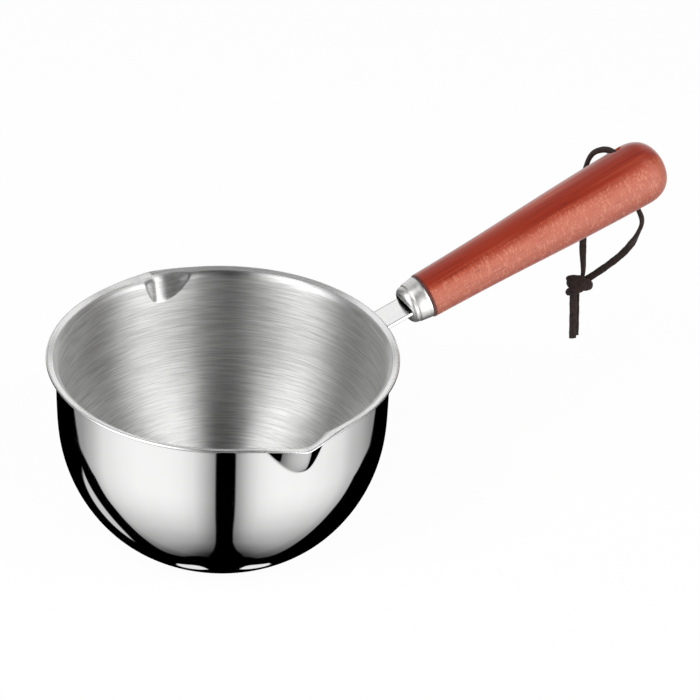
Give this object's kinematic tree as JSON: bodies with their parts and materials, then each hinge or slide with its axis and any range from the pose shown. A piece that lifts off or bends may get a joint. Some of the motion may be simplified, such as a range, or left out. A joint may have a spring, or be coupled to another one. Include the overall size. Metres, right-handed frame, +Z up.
{
  "type": "butter warmer",
  "caption": "Small round-bottomed steel pan with a turned-out rim, a pouring spout on each side, and a turned wooden handle with a hanging leather lace.",
  "frame": {"origin": "centre of the underside of the bowl's flat base, where it meets the stove", "axes": "+Z up out of the bowl's mouth, +X along the handle from the bowl towards the grip, the spouts point along +Y and -Y"},
  "size_m": [0.2516, 0.1362, 0.1246],
  "materials": {
    "polished_steel": "polished",
    "strap_steel": "satin",
    "ferrule_steel": "satin",
    "stud_steel": "matte",
    "rosewood": "satin",
    "lace_leather": "matte"
  },
  "bodies": {
    "pan": {"bowl": "polished_steel", "handle_strap": "strap_steel", "ferrule": "ferrule_steel", "tang_stud": "stud_steel", "grip": "rosewood", "lace_loop": "lace_leather"},
    "lanyard": {"lace_front_strand": "lace_leather", "lace_back_strand": "lace_leather", "lace_knot": "lace_leather", "lace_near_tail": "lace_leather", "lace_far_tail": "lace_leather"}
  },
  "joints": [
    {"name": "lanyard_swing", "type": "hinge", "parent": "pan", "child": "lanyard", "pos_m": [0.16212, 0.0138, 0.10485], "axis": [0.4566, -0.8656, -0.2058], "range_deg": [0, 75]}
  ]
}
